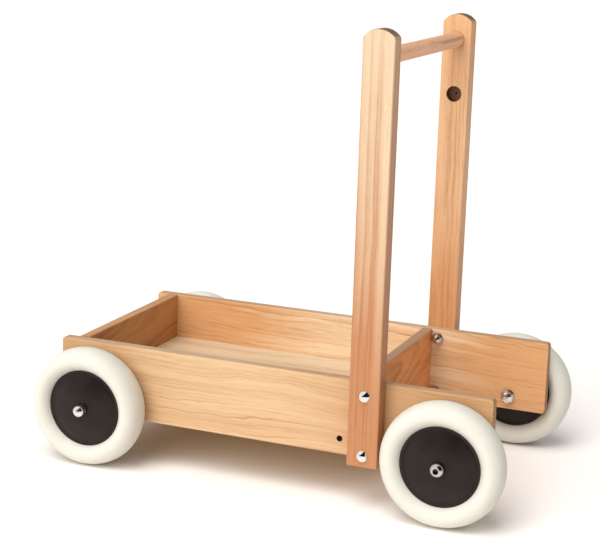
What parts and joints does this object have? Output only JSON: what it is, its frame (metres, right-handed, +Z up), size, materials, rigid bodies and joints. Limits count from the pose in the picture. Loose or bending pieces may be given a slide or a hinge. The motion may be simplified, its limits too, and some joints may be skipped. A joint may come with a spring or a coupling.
{
  "type": "baby walker",
  "caption": "Push-along wooden walker: a low open tray on domed wheels with smooth rubber tyres, and a round handle bar between tall uprights.",
  "frame": {"origin": "on the floor, under the middle of the walker's bounding box", "axes": "+Z up, the front faces -Y and the child walks behind at +Y, +X to the right of someone who faces the front"},
  "size_m": [0.337, 0.53, 0.488],
  "materials": {
    "board_wood": "clear satin lacquer on solid beech",
    "upright_wood": "clear satin lacquer on laminated beech",
    "handle_wood": "bare sanded beech dowel",
    "plywood": "clear satin lacquer on thin plywood",
    "dowel_wood": "bare beech",
    "chrome": "bright nickel plate",
    "steel": "plain zinc-plated tube",
    "hub_plastic": "dark brown moulded, soft sheen",
    "tyre_rubber": "ivory, smooth"
  },
  "bodies": {
    "frame": {"floor_board": "plywood", "handle_bar": "handle_wood", "front_board": "board_wood", "rear_board": "board_wood", "front_board_dowels": "dowel_wood", "rear_board_dowels": "dowel_wood", "side_board_left": "board_wood", "upright_left": "upright_wood", "upright_bolt_left_upper": "chrome", "upright_washer_left_upper": "chrome", "upright_nut_left_upper": "chrome", "upright_bolt_left_lower": "chrome", "upright_washer_left_lower": "chrome", "upright_nut_left_lower": "chrome", "side_board_right": "board_wood", "upright_right": "upright_wood", "upright_bolt_right_upper": "chrome", "upright_washer_right_upper": "chrome", "upright_nut_right_upper": "chrome", "upright_bolt_right_lower": "chrome", "upright_washer_right_lower": "chrome", "upright_nut_right_lower": "chrome", "axle_sleeve_front_left": "steel", "axle_bolt_front_left": "chrome", "axle_nut_front_left": "chrome", "axle_washers_front_left": "chrome", "axle_sleeve_front_right": "steel", "axle_bolt_front_right": "chrome", "axle_nut_front_right": "chrome", "axle_washers_front_right": "chrome", "axle_sleeve_rear_left": "steel", "axle_bolt_rear_left": "chrome", "axle_nut_rear_left": "chrome", "axle_washers_rear_left": "chrome", "axle_sleeve_rear_right": "steel", "axle_bolt_rear_right": "chrome", "axle_nut_rear_right": "chrome", "axle_washers_rear_right": "chrome"},
    "wheel_front_left": {"hub_front_left": "hub_plastic", "tyre_front_left": "tyre_rubber"},
    "wheel_front_right": {"hub_front_right": "hub_plastic", "tyre_front_right": "tyre_rubber"},
    "wheel_rear_left": {"hub_rear_left": "hub_plastic", "tyre_rear_left": "tyre_rubber"},
    "wheel_rear_right": {"hub_rear_right": "hub_plastic", "tyre_rear_right": "tyre_rubber"}
  },
  "joints": [
    {"name": "wheel_spin_front_left", "type": "hinge", "parent": "frame", "child": "wheel_front_left", "pos_m": [-0.141, -0.2, 0.065], "axis": [1, 0, 0], "continuous": true},
    {"name": "wheel_spin_front_right", "type": "hinge", "parent": "frame", "child": "wheel_front_right", "pos_m": [0.141, -0.2, 0.065], "axis": [1, 0, 0], "continuous": true},
    {"name": "wheel_spin_rear_left", "type": "hinge", "parent": "frame", "child": "wheel_rear_left", "pos_m": [-0.141, 0.2, 0.065], "axis": [1, 0, 0], "continuous": true},
    {"name": "wheel_spin_rear_right", "type": "hinge", "parent": "frame", "child": "wheel_rear_right", "pos_m": [0.141, 0.2, 0.065], "axis": [1, 0, 0], "continuous": true}
  ]
}
